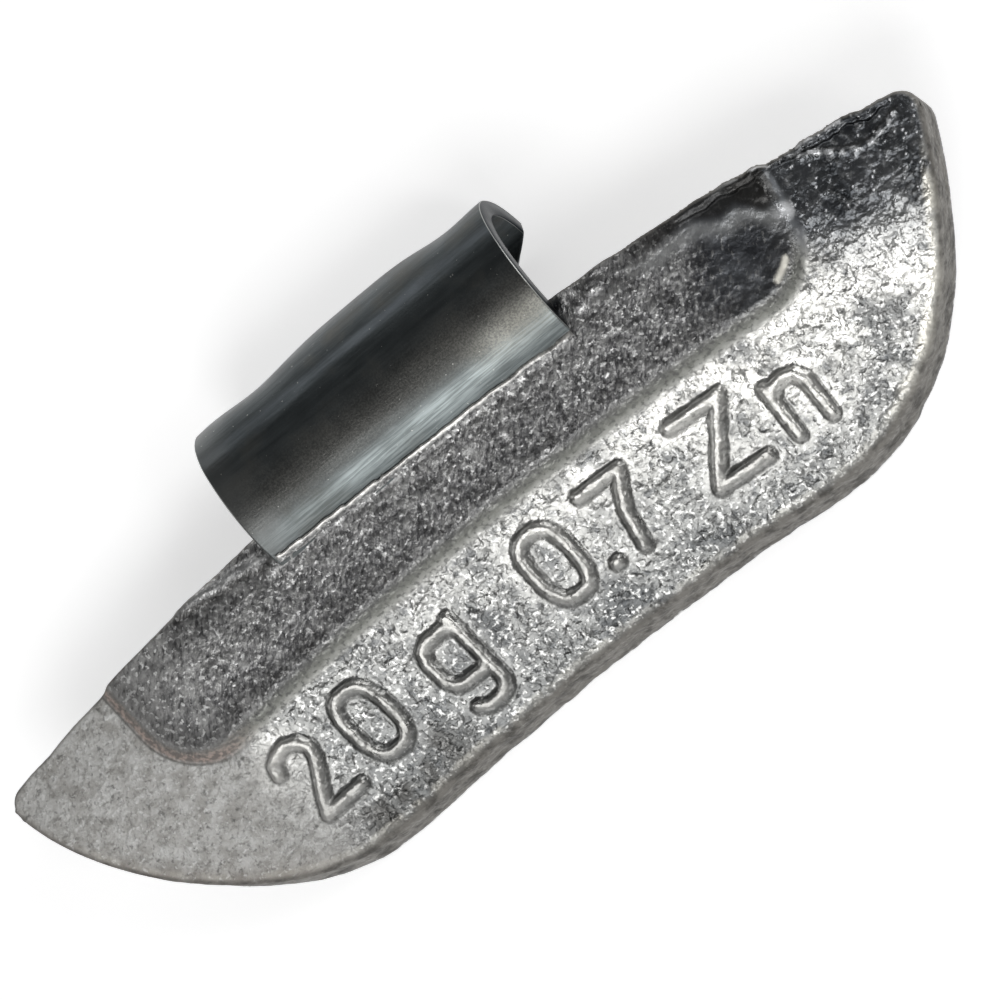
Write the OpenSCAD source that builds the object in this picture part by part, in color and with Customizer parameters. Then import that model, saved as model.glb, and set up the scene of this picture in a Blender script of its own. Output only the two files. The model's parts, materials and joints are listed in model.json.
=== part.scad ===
// Clip-on balance weight for a steel car wheel: a zinc casting that follows the rim's arc,
// with a folded spring-steel clip cast into its top edge.
// The pieces are drawn as they sit on the wheel: X runs along the rim, Y runs in towards the
// tyre, Z runs out from the wheel's axis, and zero is the middle of the casting's front fold.
// They are then laid on their back, as the loose weight rests on a bench: +Z up out of the
// marked front, +Y towards the clip, origin at the centre of the footprint.

/* [Casting] */
// Radius of the wheel arc at the front fold
rim_r = 186; // [150:1:240]
// Distance from the middle to the centre of the right lower corner
corner_right = 15.5; // [12:0.1:18]
// Distance from the middle to the centre of the left lower corner
corner_left = 15.9; // [12:0.1:18]
// Radius of the lower corners, seen from the front
corner_r = 15; // [12:0.1:18]
// Radius of the right end, above its corner
end_right_r = 20; // [16:0.5:40]
// Radius of the left end, above its corner
end_left_r = 16.5; // [16:0.5:40]
// Height of the top edge above the fold
top_rise = 6.4; // [6:0.1:8]
// Radius of the top edge, seen from the front
crown_r = 150; // [100:1:186]
// How far the top edge's arc is off the middle
crown_shift = 1.8; // [0:0.1:4]
// Depth of the bottom edge below the fold
foot_drop = 8.2; // [7:0.1:10]
// Radius of the tips
tip_r = 1.1; // [0.4:0.1:1.5]
// Thickness of the edge, front to back
edge_t = 2.5; // [2:0.05:3.5]
// Half length of the thicker middle
boss_half = 20; // [14:0.5:22]
// How far back the thicker middle reaches at the top edge
boss_back = 0.9; // [0.4:0.1:1.5]
// Radius of the shallow trough along the top edge, where the rim flange passes
trough_r = 6; // [5:0.5:10]
// Room that the trough leaves below the hook's bore
trough_room = 0.1; // [0.1:0.05:0.3]

/* [Front face] */
// Lean of the lower skirt, in degrees
skirt_tilt = 36; // [28:1:42]
// Lean of the upper face, in degrees
upper_tilt = 12; // [6:1:18]
// Radius of the fold between them
fold_r = 14; // [10:0.5:18]
// Height at which the fold starts
fold_start = -1; // [-2:0.1:-0.5]

/* [Clip pad] */
// Length of the raised pad that backs the clip
pad_len = 43; // [36:0.5:48]
// Radius of the pad's lower corners
pad_end_r = 3; // [2:0.1:4.5]
// Height of the pad's lower edge above the fold
pad_low = -0.1; // [-0.5:0.1:0.8]
// How far the pad's lower edge stands proud
pad_rise = 0.55; // [0.3:0.05:1]
// How far its top edge stands proud
pad_rise_top = 0.35; // [0.2:0.05:0.8]
// Run of the sloping wall along its lower edge
pad_wall = 0.6; // [0.3:0.1:1]

/* [Marks] */
// Height of the raised figures
mark_h = 4.6; // [3.5:0.1:5]
// Width of their strokes
mark_w = 0.68; // [0.5:0.02:0.9]
// How far they stand proud
mark_rise = 0.32; // [0.2:0.02:0.5]
// Depth of their feet below the fold
mark_drop = 5.6; // [5.2:0.1:6]

/* [Clip] */
// Width of the steel strip
clip_w = 20; // [16:0.2:24]
// Offset of the clip from the middle
clip_x = -0.4; // [-1.5:0.1:1.5]
// Thickness of the strip
sheet_t = 1; // [0.8:0.05:1.2]
// Inner radius of the hook that grips the rim flange
hook_r = 3.3; // [2.8:0.05:3.6]
// Height of the hook's axis above the fold
hook_z = 9.1; // [8.5:0.1:9.6]
// Hook axis, measured back from the fold
hook_y = -0.3; // [-0.8:0.1:0.3]
// Inner radius of the neck below the hook
neck_r = 5.5; // [4.8:0.1:6.5]
// Angle that the neck turns through before it enters the zinc
neck_deg = 56; // [50:1:58]
// Length of the tang inside the zinc
tang_len = 3.2; // [2.8:0.1:3.6]
// Diameter of the tang's two anchor holes
anchor_d = 1.8; // [1.4:0.1:2]
// Spacing of the anchor holes
anchor_gap = 10; // [6:0.5:13]
// Height at which the tongue ends, in the middle of the strip
tongue_low = 8.2; // [7.6:0.1:9]
// Height at which it ends, at the strip's two edges
tongue_high = 12.1; // [11:0.1:12.2]
// How late its end curves up towards those edges, as a power
tongue_power = 2.2; // [1.5:0.1:4]

/* [Hidden] */
$fn = 96;

zinc = [0.60, 0.60, 0.58];
steel = [0.20, 0.23, 0.25];

arc_steps = 20;
fold_steps = 4;
tip_steps = 5;
over = 4;                 // how far the cutting shapes run past the body
depth = 40;               // front to back length of the prisms that trim it
deg = 180 / PI;

// A point at arc length s along the fold and height z above it, as X and Z
function on_rim(s, z) = [(rim_r + z) * sin(s / rim_r * deg), (rim_r + z) * cos(s / rim_r * deg) - rim_r];
// Points on an arc about c, from angle a to angle b
function arc_points(c, r, a, b, n) = [for (i = [0 : n]) c + r * unit(a + (b - a) * i / n)];

// Front face: the skirt leans back, the fold is an arc, the upper face is nearly upright
fold_y = -fold_start * tan(skirt_tilt);
fold_end = fold_start + fold_r * (sin(skirt_tilt) - sin(upper_tilt));
upper_y = fold_y - fold_r * (cos(upper_tilt) - cos(skirt_tilt));
function upper_face(z) = upper_y - (z - fold_end) * tan(upper_tilt);
function lean_at(z) = asin(sin(skirt_tilt) - (z - fold_start) / fold_r);
function front_y(z) =
    z < fold_start ? -z * tan(skirt_tilt)
    : z > fold_end ? upper_face(z)
    : fold_y - fold_r * (cos(lean_at(z)) - cos(skirt_tilt));

// Back face: level with the front. The middle is thicker, and its back is one straight lean
// from just below the bottom edge to the top edge.
function back_y(z) = front_y(z) + edge_t;
boss_foot = 0.2;          // how far below the bottom edge the lean would start
boss_low = back_y(-foot_drop);
boss_slope = (boss_low - boss_back) / (foot_drop + boss_foot + top_rise);
function boss_y(z) = boss_low - (z + foot_drop + boss_foot) * boss_slope;

// Outline from the front, for the right side (1) or the left (-1): bottom arc, lower corner,
// flatter end, small tip and the top arc, whose centre is off the middle
foot_r = rim_r - foot_drop;
flat_deg = -52;           // where a lower corner gives way to the end above it
crown_z = top_rise - crown_r;
function unit(a) = [cos(a), sin(a)];
function aim(from, to) = atan2(to.y - from.y, to.x - from.x);
function corner_x(side) = side > 0 ? corner_right : corner_left;
function corner_z(side) = sqrt(pow(foot_r + corner_r, 2) - pow(corner_x(side), 2)) - rim_r;
function corner_c(side) = [corner_x(side), corner_z(side)];
function end_r(side) = side > 0 ? end_right_r : end_left_r;
function end_c(side) = corner_c(side) + (corner_r - end_r(side)) * unit(flat_deg);
function crown_c(side) = [-side * crown_shift, crown_z];
// The tip circle touches the end and the top arc from inside
function tip_c(side) =
    let (
        reach = end_r(side) - tip_r,
        gap = norm(crown_c(side) - end_c(side)),
        way = (crown_c(side) - end_c(side)) / gap,
        along = (reach * reach - pow(crown_r - tip_r, 2) + gap * gap) / (2 * gap)
    )
    end_c(side) + along * way + sqrt(reach * reach - along * along) * [-way.y, way.x];
function half_outline(side) =
    let (
        tip = tip_c(side),
        foot_deg = atan2(corner_x(side), corner_z(side) + rim_r),
        end_deg = aim(end_c(side), tip),
        crown_deg = aim(crown_c(side), tip),
        top_deg = acos(side * crown_shift / crown_r)
    )
    concat(
        arc_points([0, -rim_r], foot_r, 90, 90 - foot_deg, arc_steps / 2),
        arc_points(corner_c(side), corner_r, -90 - foot_deg, flat_deg, arc_steps),
        arc_points(end_c(side), end_r(side), flat_deg, end_deg, tip_steps),
        arc_points(tip, tip_r, end_deg, crown_deg, tip_steps),
        arc_points(crown_c(side), crown_r, crown_deg, top_deg, arc_steps / 2)
    );
// Neighbouring arcs share their end points, so each repeated point is dropped
function repeated(p, i) = i > 0 && norm(p[i] - p[max(i - 1, 0)]) < 0.001;
function no_repeats(p) = [for (i = [0 : len(p) - 1]) if (!repeated(p, i)) p[i]];
right_half = no_repeats(half_outline(1));
left_half = no_repeats(half_outline(-1));
outline = concat(right_half, [for (i = [len(left_half) - 2 : -1 : 1]) [-left_half[i].x, left_half[i].y]]);

// Pad outline: straight ends with round lower corners, open at the top
pad_half = pad_len / 2;
pad_foot = pad_low - pad_wall;
pad_clear = 0.3;          // the outline passes this far below the wall's foot
pad_edge = pad_foot - pad_clear;
pad_corner = arc_points([pad_half - pad_end_r, pad_edge + pad_end_r], pad_end_r, -90, 0, 6);
pad_side = concat([[0, pad_edge]], pad_corner, [[pad_half, top_rise + over]]);

// Hook: a round roll, then a wider neck that turns back into the zinc
roll_out = hook_r + sheet_t;
neck_out = neck_r + sheet_t;
neck_y = hook_y + neck_r - hook_r;
neck_end = [neck_y, hook_z] - neck_out * unit(neck_deg);
neck_end_in = [neck_y, hook_z] - neck_r * unit(neck_deg);
tang_run = tang_len * [sin(neck_deg), -cos(neck_deg)];

// Rest: lying back on the bottom edge and on the back of the hook
rest_y = boss_low - hook_y;
rest_z = foot_drop + hook_z;
rest_lean = acos(roll_out / norm([rest_y, rest_z])) - atan2(rest_z, rest_y);
rest_h = boss_low * cos(rest_lean) - foot_drop * sin(rest_lean);
rest_far = hook_z * cos(rest_lean) - hook_y * sin(rest_lean) + roll_out;
foot_low = corner_z(-1) - corner_r;
foot_back = back_y(norm([corner_left, foot_low + rim_r]) - rim_r);
rest_near = foot_low * cos(rest_lean) - foot_back * sin(rest_lean);

// Lays the weight on its back, centred over the origin
module laid_down() {
    translate([0, -(rest_far + rest_near) / 2, rest_h])
        rotate([-90 - rest_lean, 0, 0])
            children();
}

// Turns a section drawn as (height, Y) about the wheel's axis
module about_wheel(section) {
    sweep = 2 * asin((corner_left + corner_r + over) / foot_r);
    translate([0, 0, -rim_r])
        rotate([-90, 0, 0])
            rotate([0, 0, -90 - sweep / 2])
                rotate_extrude(angle = sweep)
                    polygon([for (p = section) [rim_r + p.x, p.y]]);
}

// A prism along Y whose outline is given as (X, Z)
module along_y(points) {
    translate([0, depth / 2, 0])
        rotate([90, 0, 0])
            linear_extrude(height = depth)
                polygon(points);
}

module casting_blank() {
    z_low = -foot_drop - over;
    z_top = top_rise + over;
    fold = [for (i = [0 : fold_steps]) fold_start + (fold_end - fold_start) * i / fold_steps];
    heights = concat([z_low], fold, [z_top]);
    last = len(heights) - 1;
    intersection() {
        union() {
            about_wheel(concat(
                [for (z = heights) [z, front_y(z)]],
                [for (i = [last : -1 : 0]) [heights[i], back_y(heights[i])]]));
            intersection() {
                about_wheel([
                    [z_low, front_y(z_low) + edge_t / 2],
                    [fold_start, front_y(fold_start) + edge_t / 2],
                    [z_top, front_y(z_top) + edge_t / 2],
                    [z_top, boss_y(z_top)],
                    [z_low, boss_y(z_low)]
                ]);
                translate([-boss_half, -over, -rim_r])
                    cube([2 * boss_half, 5 * over, rim_r + z_top]);
            }
        }
        along_y(outline);
    }
}

module clip_pad() {
    inside = 1;
    z_top = top_rise + over;
    pad_rise_mid = (pad_rise + pad_rise_top) / 2;
    half = [for (p = pad_side) on_rim(p.x, p.y)];
    intersection() {
        about_wheel([
            [pad_foot, front_y(pad_foot)],
            [pad_low, front_y(pad_low) - pad_rise],
            [fold_end, front_y(fold_end) - pad_rise_mid],
            [z_top, front_y(z_top) - pad_rise_top],
            [z_top, front_y(z_top) + inside],
            [pad_foot, front_y(pad_foot) + inside]
        ]);
        along_y(concat(half, [for (i = [len(half) - 1 : -1 : 1]) [-half[i].x, half[i].y]]));
        along_y(outline);
    }
}

// Outline of a stroke of the given width along a path
function side_of(path, i) =
    let (a = path[max(i - 1, 0)], b = path[min(i + 1, len(path) - 1)], d = (b - a) / norm(b - a))
    [-d.y, d.x];
function stroke(path, w) = concat(
    [for (i = [0 : len(path) - 1]) path[i] + side_of(path, i) * w / 2],
    [for (i = [len(path) - 1 : -1 : 0]) path[i] - side_of(path, i) * w / 2]
);

// A closed ring of even width, such as the bowl of a letter
module ring(centre, rx, ry, w, sides) {
    turns = [for (i = [0 : sides - 1]) 360 * i / sides];
    difference() {
        polygon([for (a = turns) centre + [(rx + w / 2) * cos(a), (ry + w / 2) * sin(a)]]);
        polygon([for (a = turns) centre + [(rx - w / 2) * cos(a), (ry - w / 2) * sin(a)]]);
    }
}

// Figures, drawn on a box one unit high
module figure(name) {
    w = mark_w / mark_h;
    h = 1 - w;
    translate([0, w / 2]) {
        if (name == "0")
            ring([0, h / 2], 0.27, h / 2, w, 24);
        if (name == "2") {
            top_from = 170;
            top_to = -40;
            top = arc_points([0, h - 0.27], 0.27, top_from, top_to, 10);
            polygon(stroke(concat(top, [[-0.3, 0.02]]), w));
            translate([-0.36, -w / 2])
                square([0.7, w]);
        }
        if (name == "7") {
            translate([-0.33, h - w / 2])
                square([0.66, w]);
            polygon(stroke([[0.28, h - 0.02], [0.05, h / 2], [-0.08, -w / 2]], w));
        }
        if (name == ".")
            translate([0, 0.02])
                circle(w * 0.75);
        if (name == "Z") {
            translate([-0.36, h - w / 2])
                square([0.72, w]);
            translate([-0.36, -w / 2])
                square([0.72, w]);
            polygon(stroke([[0.3, h - 0.01], [-0.3, 0.01]], w));
        }
        if (name == "n") {
            translate([-0.27 - w / 2, -w / 2])
                square([w, 0.68]);
            shoulder_from = 130;
            shoulder_to = 10;
            shoulder = arc_points([0.01, 0.36], 0.25, shoulder_from, shoulder_to, 6);
            polygon(stroke(concat([[-0.27, 0.38]], shoulder, [[0.27, 0.3], [0.27, -w / 2]]), w));
        }
        if (name == "g") {
            ring([-0.02, 0.36], 0.25, 0.26, w, 20);
            hook_from = -15;
            hook_to = -150;
            hook = arc_points([0.02, 0], 0.24, hook_from, hook_to, 6);
            polygon(stroke(concat([[0.27, 0.66], [0.27, 0.05]], hook), w));
        }
    }
}

// The row of raised figures, each one standing on the arc of the skirt
marks = [["2", -17], ["0", -12.7], ["g", -6.9], ["0", 0.7], [".", 3.3], ["7", 5.4], ["Z", 11.8], ["n", 16.5]];
module raised_marks() {
    sunk = 0.3;
    for (m = marks)
        translate([0, 0, -rim_r])
            rotate([0, m[1] / rim_r * deg, 0])
                translate([0, front_y(-mark_drop), rim_r - mark_drop])
                    rotate([90 + skirt_tilt, 0, 0])
                        translate([0, 0, -sunk])
                            linear_extrude(height = sunk + mark_rise)
                                scale(mark_h)
                                    figure(m[0]);
}

// The bent part of the strip, seen from its end as (Y, Z): roll and neck
module strip_section() {
    difference() {
        translate([hook_y, hook_z])
            circle(roll_out);
        translate([hook_y, hook_z])
            circle(hook_r);
        translate([hook_y - 2 * roll_out, hook_z - 2 * roll_out])
            square([2 * roll_out, 2 * roll_out]);
        translate([hook_y, tongue_low - 2 * roll_out])
            square([2 * roll_out, 2 * roll_out]);
    }
    reach = 2 * neck_out;
    intersection() {
        difference() {
            translate([neck_y, hook_z])
                circle(neck_out);
            translate([neck_y, hook_z])
                circle(neck_r);
        }
        polygon([
            [neck_y, hook_z],
            [neck_y - reach, hook_z],
            [neck_y - reach, hook_z - reach * sin(neck_deg) / cos(neck_deg)]
        ]);
    }
}

// The straight tang, pressed thinner than the strip; it starts inside the neck
module tang() {
    pressed = 0.1;
    inside = 0.15;
    translate([clip_x - clip_w / 2, neck_end.x, neck_end.y])
        rotate([neck_deg - 90, 0, 0])
            translate([0, -inside, pressed])
                cube([clip_w, inside + tang_len, sheet_t - 2 * pressed]);
}

module strip() {
    difference() {
        union() {
            translate([clip_x - clip_w / 2, 0, 0])
                rotate([90, 0, 90])
                    linear_extrude(height = clip_w)
                        strip_section();
            tang();
        }
        tongue_cut();
        anchor_holes();
    }
}

// What is cut from the hook's free end, so that its tongue is longest in the middle
module tongue_cut() {
    half = clip_w / 2;
    edge = [for (i = [-10 : 10]) [clip_x + half * i / 10,
        tongue_low + (tongue_high - tongue_low) * pow(abs(i / 10), tongue_power)]];
    translate([0, hook_y + hook_r / 2, 0])
        rotate([90, 0, 0])
            mirror([0, 0, 1])
                linear_extrude(height = 2 * roll_out)
                    polygon(concat(
                        [[clip_x - half - over, tongue_low - over], [clip_x - half - over, tongue_high]],
                        edge,
                        [[clip_x + half + over, tongue_high], [clip_x + half + over, tongue_low - over]]));
}

// Two holes through the tang, a little past its middle, which the zinc fills
module anchor_holes() {
    past_middle = 0.55;
    mid = (neck_end + neck_end_in) / 2 + tang_run * past_middle;
    for (side = [-1, 1])
        translate([clip_x + side * anchor_gap / 2, mid.x, mid.y])
            rotate([neck_deg - 90, 0, 0])
                cylinder(h = 3 * sheet_t, d = anchor_d, center = true);
}

// Shallow trough along the casting's top edge, which lets the rim flange fill the hook
module flange_trough() {
    translate([-depth, hook_y, hook_z - hook_r - trough_room + trough_r])
        rotate([0, 90, 0])
            cylinder(h = 2 * depth, r = trough_r);
}

module zinc_casting() {
    color(zinc)
        laid_down()
            difference() {
                union() {
                    casting_blank();
                    clip_pad();
                    raised_marks();
                }
                strip();
                flange_trough();
            }
}

module steel_clip() {
    color(steel)
        laid_down()
            strip();
}

zinc_casting();
steel_clip();
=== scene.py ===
import json
import math

import bmesh
import bpy
import numpy as np
from mathutils import Matrix, Vector, noise


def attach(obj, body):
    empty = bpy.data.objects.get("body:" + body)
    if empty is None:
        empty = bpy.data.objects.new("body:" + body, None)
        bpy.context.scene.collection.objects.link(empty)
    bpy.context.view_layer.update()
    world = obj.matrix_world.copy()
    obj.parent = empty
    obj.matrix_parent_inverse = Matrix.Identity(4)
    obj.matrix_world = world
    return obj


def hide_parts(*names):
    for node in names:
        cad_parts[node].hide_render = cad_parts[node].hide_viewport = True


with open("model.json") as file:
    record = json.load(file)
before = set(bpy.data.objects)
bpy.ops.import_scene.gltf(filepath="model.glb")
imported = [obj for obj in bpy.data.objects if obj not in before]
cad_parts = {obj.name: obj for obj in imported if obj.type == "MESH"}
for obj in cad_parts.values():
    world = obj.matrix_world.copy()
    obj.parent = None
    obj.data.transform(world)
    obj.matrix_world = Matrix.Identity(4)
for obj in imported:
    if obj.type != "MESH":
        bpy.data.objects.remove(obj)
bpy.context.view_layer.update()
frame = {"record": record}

scene = bpy.context.scene
scene.view_settings.view_transform = "Standard"

# How the weight lies. It is drawn below as it sits on the wheel, in millimetres: X along the
# rim, Y in towards the tyre, Z out from the axle, zero in the middle of the casting's fold.
# Loose on a bench it lies on its back, on the casting's bottom edge and the back of the hook.
rim_r = 186.0
clip_x, hook_y, hook_z, hook_r = -0.4, -0.3, 9.1, 3.3
sheet = 1.0
roll_out = hook_r + sheet
foot_drop, edge_t, skirt_tilt = 8.2, 2.5, math.radians(36)
foot_back = foot_drop * math.tan(skirt_tilt) + edge_t
rest_lean = math.acos(roll_out / math.hypot(foot_back - hook_y, foot_drop + hook_z))
rest_lean -= math.atan2(foot_drop + hook_z, foot_back - hook_y)
hook_at = Vector(frame["record"]["mounts"][0]["pos_m"])
mm = 0.001

lay_down = Matrix.Rotation(-math.pi / 2 - rest_lean, 4, "X")
lay_down = Matrix.Translation(hook_at - lay_down @ (Vector((clip_x, hook_y, hook_z)) * mm)) @ lay_down


def laid(points):
    """Wheel-frame millimetres to the row's frame in metres."""
    lying = np.array(lay_down)
    return (np.asarray(points) * mm) @ lying[:3, :3].T + lying[:3, 3]


# The camera. It stands where the photograph was taken from: in front of the weight, 16 degrees
# to its right and 20 degrees below it, rolled so that the body climbs to the right.
turn, drop, roll = math.radians(16), math.radians(20), math.radians(33.44)
distance, pixels_per_mm = 191.6, 19.36
to_camera = Vector((math.sin(turn) * math.cos(drop), -math.cos(turn) * math.cos(drop), -math.sin(drop)))
level = Vector((math.cos(turn), math.sin(turn), 0))
upright = to_camera.cross(level).normalized()
screen_x = math.cos(roll) * level - math.sin(roll) * upright
screen_y = math.sin(roll) * level + math.cos(roll) * upright
picture, sensor = 1000, 36
fold_px = (485.9, 509.8)

camera = bpy.data.objects.new("camera", bpy.data.cameras.new("camera"))
scene.collection.objects.link(camera)
scene.camera = camera
camera.data.sensor_width = sensor
camera.data.lens = pixels_per_mm * distance / picture * sensor
camera.data.clip_start = 0.01
camera.data.clip_end = 20
# Aim beside the fold, so that the fold falls on its own pixel
aim_x = (picture / 2 - fold_px[0]) / pixels_per_mm
aim_y = (fold_px[1] - picture / 2) / pixels_per_mm
aim = aim_x * screen_x + aim_y * screen_y
back = (to_camera * distance - aim).normalized()
right = (screen_x - back * screen_x.dot(back)).normalized()
axes = Matrix((right, back.cross(right), back)).transposed().to_4x4()
camera.matrix_world = lay_down @ Matrix.Translation(to_camera * distance * mm) @ axes

# The zinc casting. It is one piece of die-cast zinc alloy, poured round the clip's tang: a
# skirt that leans back, a soft fold, and a raised pad that backs the clip. Its face is grainy
# from the mould, with rounded figures that state its mass and metal, and ragged flash on top.
fold_r, upper_tilt, fold_start = 14.0, math.radians(12), -1.0
fold_end = fold_start + fold_r * (math.sin(skirt_tilt) - math.sin(upper_tilt))
fold_y = -fold_start * math.tan(skirt_tilt)
upper_y = fold_y - fold_r * (math.cos(upper_tilt) - math.cos(skirt_tilt))


def face_y(z):
    """How far back the bare front face lies at a height above the fold."""
    lean = np.arcsin(np.clip(math.sin(skirt_tilt) - (z - fold_start) / fold_r, -1, 1))
    fold = fold_y - fold_r * (np.cos(lean) - math.cos(skirt_tilt))
    upper = upper_y - (z - fold_end) * math.tan(upper_tilt)
    return np.where(z < fold_start, -z * math.tan(skirt_tilt), np.where(z > fold_end, upper, fold))


def arc(centre, radius, start, end, steps):
    """Points along a round, from one angle to another in degrees."""
    angles = np.radians(np.linspace(start, end, steps))
    return np.stack([centre[0] + radius * np.cos(angles), centre[1] + radius * np.sin(angles)], 1)


foot_r = rim_r - foot_drop
corner_r, tip_r = 15.0, 1.1
top_rise, crown_r, crown_shift = 6.4, 150.0, 1.8
crown_z = top_rise - crown_r
flat_deg = -52


def half_outline(side, corner_x, end_r):
    """One half of the outline, from the middle of the foot round its end to the middle of the top."""
    corner = np.array([corner_x, math.sqrt((foot_r + corner_r) ** 2 - corner_x ** 2) - rim_r])
    flat = np.array([math.cos(math.radians(flat_deg)), math.sin(math.radians(flat_deg))])
    end = corner + (corner_r - end_r) * flat
    crown = np.array([-side * crown_shift, crown_z])
    reach = end_r - tip_r
    gap = np.linalg.norm(crown - end)
    way = (crown - end) / gap
    along = (reach ** 2 - (crown_r - tip_r) ** 2 + gap ** 2) / (2 * gap)
    tip = end + along * way + math.sqrt(reach ** 2 - along ** 2) * np.array([-way[1], way[0]])
    foot_deg = math.degrees(math.atan2(corner[0], corner[1] + rim_r))
    end_deg = math.degrees(math.atan2(tip[1] - end[1], tip[0] - end[0]))
    crown_deg = math.degrees(math.atan2(tip[1] - crown[1], tip[0] - crown[0]))
    top_deg = math.degrees(math.acos(side * crown_shift / crown_r))
    return np.concatenate([
        arc((0, -rim_r), foot_r, 90, 90 - foot_deg, 200)[1:],
        arc(corner, corner_r, -90 - foot_deg, flat_deg, 200)[1:],
        arc(end, end_r, flat_deg, end_deg, 200)[1:],
        arc(tip, tip_r, end_deg, crown_deg, 60)[1:],
        arc(crown, crown_r, crown_deg, top_deg, 300)[1:-1],
    ])


right_half = half_outline(1, 15.5, 20.0)
left_half = half_outline(-1, 15.9, 16.5) * [-1, 1]
right_end, left_end = right_half[:, 0].argmax(), left_half[:, 0].argmin()
low_chain = np.concatenate([left_half[:left_end + 1][::-1], right_half[:right_end + 1]])
high_chain = np.concatenate([left_half[left_end:], right_half[right_end:][::-1]])


def wander(x, seed, scale):
    """A slow random wander along a line, from -1 to 1."""
    return np.array([noise.fractal((v / scale, seed, 0.3), 0.9, 2.1, 4) for v in x])


# The bottom edge is wavy where flash was trimmed off, and the top edge is ragged at the right
columns = 500
even_steps = np.linspace(-1, 1, columns + 1)
spread = 0.5 * even_steps + 0.5 * np.sin(even_steps * math.pi / 2)
x_low, x_high = low_chain[0, 0], low_chain[-1, 0]
xs = (x_low + x_high) / 2 + (x_high - x_low) / 2 * spread
ends = np.clip((1 - np.abs(spread)) / 0.04, 0, 1)
bottom = np.interp(xs, low_chain[:, 0], low_chain[:, 1])
bottom += ends * (0.10 * wander(xs, 1.7, 5.0) + 0.05 * wander(xs, 4.1, 1.3))
top = np.interp(xs, high_chain[:, 0], high_chain[:, 1]) + ends * 0.06 * wander(xs, 8.2, 1.8)
ragged = np.clip((xs - 17) / 4, 0, 1) * np.clip((30.5 - xs) / 2, 0, 1)
top += ends * ragged * 0.22 * wander(xs, 12.6, 1.1)

rows = 108
row_steps = np.linspace(0, 1, rows + 1)
upward = 0.8 * row_steps + 0.2 * (1 - np.cos(math.pi * row_steps)) / 2
X = np.repeat(xs[:, None], rows + 1, 1)
Z = bottom[:, None] + (top - bottom)[:, None] * upward[None, :]
height = np.hypot(X, Z + rim_r) - rim_r
along = np.arctan2(X, Z + rim_r) * rim_r

edge_line = np.concatenate([np.stack([xs, bottom], 1), np.stack([xs, top], 1)[::-1]])


def distance_to_line(px, pz, line):
    """Distance from a line, near each of its stretches, and a very long way everywhere else."""
    out = np.full(px.shape, 1e9)
    for a, b in zip(line[:-1], line[1:]):
        near = (np.abs(px - a[0]) < 2) | (np.abs(px - b[0]) < 2)
        if not near.any():
            continue
        d = b - a
        q = np.clip(((px[near] - a[0]) * d[0] + (pz[near] - a[1]) * d[1]) / max(d @ d, 1e-12), 0, 1)
        out[near] = np.minimum(out[near], np.hypot(px[near] - a[0] - q * d[0], pz[near] - a[1] - q * d[1]))
    return out


def soft_step(x):
    """From 0 to 1 as x goes from 0 to 1, with soft ends."""
    x = np.clip(x, 0, 1)
    return x * x * (3 - 2 * x)


edge_gap = distance_to_line(X.ravel(), Z.ravel(), edge_line[::2]).reshape(X.shape)
top_gap = top[:, None] - Z

# The pad: a low step with soft sloping sides and round lower corners
pad_half, pad_x, pad_low, pad_corner, pad_side = 21.5, -0.05, -0.1, 3.0, 0.85
pad_heights, pad_rises = np.array([pad_low, fold_end, 10.4]), np.array([0.55, 0.45, 0.35])
# Neither the pad nor its sloping side is drawn further than this below the lower edge
pad_reach, side_reach = 0.8, 1.2
past_side = np.abs(along - pad_x) - (pad_half - pad_corner)
past_low = (pad_low + pad_corner) - height
past_corner = np.hypot(np.maximum(past_side, 0), np.maximum(past_low, 0))
pad_in = -(past_corner + np.minimum(np.maximum(past_side, past_low), 0) - pad_corner)
pad = soft_step((pad_in + pad_side * 0.75) / pad_side)
pad_face = np.interp(height, pad_heights, face_y(pad_heights) - pad_rises)
Y = face_y(height)
Y = Y + (pad_face - Y) * np.where(height > pad_low - pad_reach, pad, 0)

# The raised figures: the mass in grams and in ounces, and the metal
round_turn = np.linspace(0, 2 * math.pi, 33)


def squarish(wave):
    """A round's sine or cosine, swollen towards a rounded oblong."""
    return np.copysign(np.abs(wave) ** 0.75, wave)


figures = {
    "2": [
        [(0.12, 3.55), (0.35, 4.1), (0.95, 4.45), (1.6, 4.5), (2.2, 4.2), (2.5, 3.6), (2.35, 3.0),
         (1.8, 2.2), (0.3, 0.12)],
        [(0.3, 0.12), (2.95, 0.12)],
    ],
    "0": [list(zip(1.45 + 1.28 * squarish(np.cos(round_turn)), 2.3 + 2.15 * squarish(np.sin(round_turn))))],
    "g": [
        [(2.75, 3.75), (2.75, -0.75), (2.45, -1.25), (1.9, -1.45), (1.0, -1.4), (0.55, -1.05)],
        [(2.7, 3.2), (2.2, 3.45), (1.0, 3.45), (0.45, 3.1), (0.2, 2.5), (0.2, 1.2), (0.5, 0.6),
         (1.1, 0.35), (2.2, 0.35), (2.7, 0.6)],
    ],
    ".": [[(0.0, 0.25), (0.12, 0.3)]],
    "7": [[(0.1, 4.35), (2.75, 4.35)], [(2.75, 4.35), (1.55, 2.2), (1.15, 0.1)]],
    "Z": [[(0.2, 4.4), (3.35, 4.4)], [(3.35, 4.4), (0.25, 0.15)], [(0.25, 0.15), (3.45, 0.15)]],
    "n": [
        [(0.25, 0.1), (0.25, 3.2)],
        [(0.3, 2.6), (0.75, 3.05), (1.35, 3.2), (1.95, 3.0), (2.3, 2.4), (2.35, 0.1)],
    ],
}
row_of_figures = [
    ("2", -18.6), ("0", -14.1), ("g", -8.4), ("0", -0.75), (".", 3.3), ("7", 4.0), ("Z", 10.0), ("n", 15.2),
]
figure_foot, stroke_reach, skirt_top = -5.6, 1.2, 0.5
slope = 1 / math.cos(skirt_tilt)
far_off = 9.0
mark_gap = np.full(X.shape, far_off)
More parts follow.
